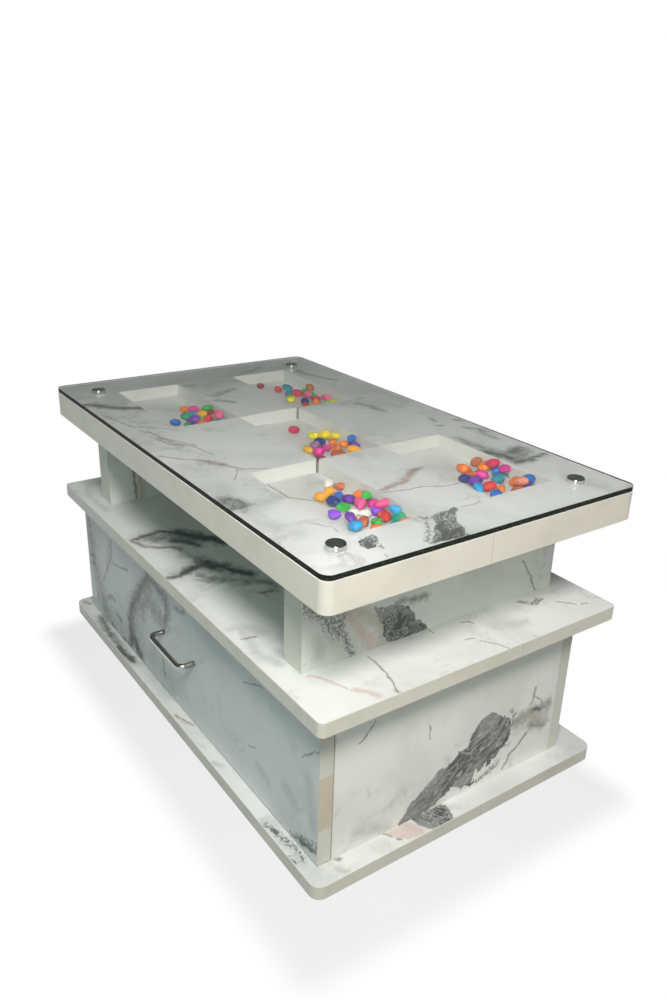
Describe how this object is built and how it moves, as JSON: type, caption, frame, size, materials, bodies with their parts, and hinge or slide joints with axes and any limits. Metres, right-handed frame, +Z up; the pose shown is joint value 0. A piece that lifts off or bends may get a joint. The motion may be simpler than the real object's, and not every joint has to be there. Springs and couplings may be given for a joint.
{
  "type": "coffee table",
  "caption": "Low rectangular table of marble-print board with a wide drawer, an open shelf bay and recessed pebble pockets under a screwed-down glass top.",
  "frame": {"origin": "middle of the base board's underside, on the floor", "axes": "+X along the table's length, -Y out of the drawer front, +Z up"},
  "size_m": [0.762, 0.463, 0.411],
  "materials": {
    "marble_board": "board with a glossy white and grey marble-print film",
    "edge_band": "cream edge band",
    "drawer_board": "white melamine board",
    "glass": "clear float glass",
    "chrome": "polished",
    "screw_steel": "zinc plated",
    "runner_steel": "zinc plated sheet",
    "nylon": "translucent white",
    "dowel_wood": "raw beech",
    "pebbles": "dyed and polished in many colours"
  },
  "bodies": {
    "table": {"base_board": "marble_board", "left_end_panel": "marble_board", "right_end_panel": "marble_board", "back_panel": "marble_board", "shelf_board": "marble_board", "left_upright_outer_board": "marble_board", "left_upright_inner_board": "marble_board", "right_upright_outer_board": "marble_board", "right_upright_inner_board": "marble_board", "top_floor_board": "marble_board", "top_deck": "marble_board", "base_edge_band": "edge_band", "end_panel_edge_bands": "edge_band", "back_panel_edge_bands": "edge_band", "shelf_edge_band": "edge_band", "upright_edge_bands": "edge_band", "top_edge_band": "edge_band", "recess_edge_bands": "edge_band", "base_screws": "screw_steel", "upright_screws": "screw_steel", "top_screws": "screw_steel", "glass_screws": "screw_steel", "runner_cabinet_screws": "screw_steel", "pebbles_front_left": "pebbles", "pebbles_back_left": "pebbles", "pebbles_centre": "pebbles", "pebbles_front_right": "pebbles", "pebbles_back_right": "pebbles", "left_runner_cabinet_rail": "runner_steel", "right_runner_cabinet_rail": "runner_steel", "glass_top": "glass", "glass_bushes": "nylon", "glass_caps": "chrome", "shelf_dowels": "dowel_wood"},
    "left_runner_middle": {"left_runner_middle_rail": "runner_steel"},
    "right_runner_middle": {"right_runner_middle_rail": "runner_steel"},
    "drawer": {"drawer_front": "marble_board", "drawer_front_edge_band": "edge_band", "drawer_handle": "chrome", "handle_screws": "screw_steel", "drawer_front_screws": "screw_steel", "drawer_box_screws": "screw_steel", "left_runner_drawer_rail": "runner_steel", "right_runner_drawer_rail": "runner_steel", "runner_drawer_screws": "screw_steel", "drawer_inner_front": "drawer_board", "drawer_left_side": "drawer_board", "drawer_right_side": "drawer_board", "drawer_back": "drawer_board", "drawer_bottom": "drawer_board"}
  },
  "joints": [
    {"name": "drawer_slide", "type": "slide", "parent": "table", "child": "drawer", "axis": [0, -1, 0], "range_m": [0, 0.34]},
    {"name": "left_middle_slide", "type": "slide", "parent": "table", "child": "left_runner_middle", "axis": [0, -1, 0], "range_m": [0, 0.17]},
    {"name": "right_middle_slide", "type": "slide", "parent": "table", "child": "right_runner_middle", "axis": [0, -1, 0], "range_m": [0, 0.17]}
  ],
  "couplings": [
    {"joint": "left_middle_slide", "follows": "drawer_slide", "ratio": 0.5},
    {"joint": "right_middle_slide", "follows": "drawer_slide", "ratio": 0.5}
  ]
}
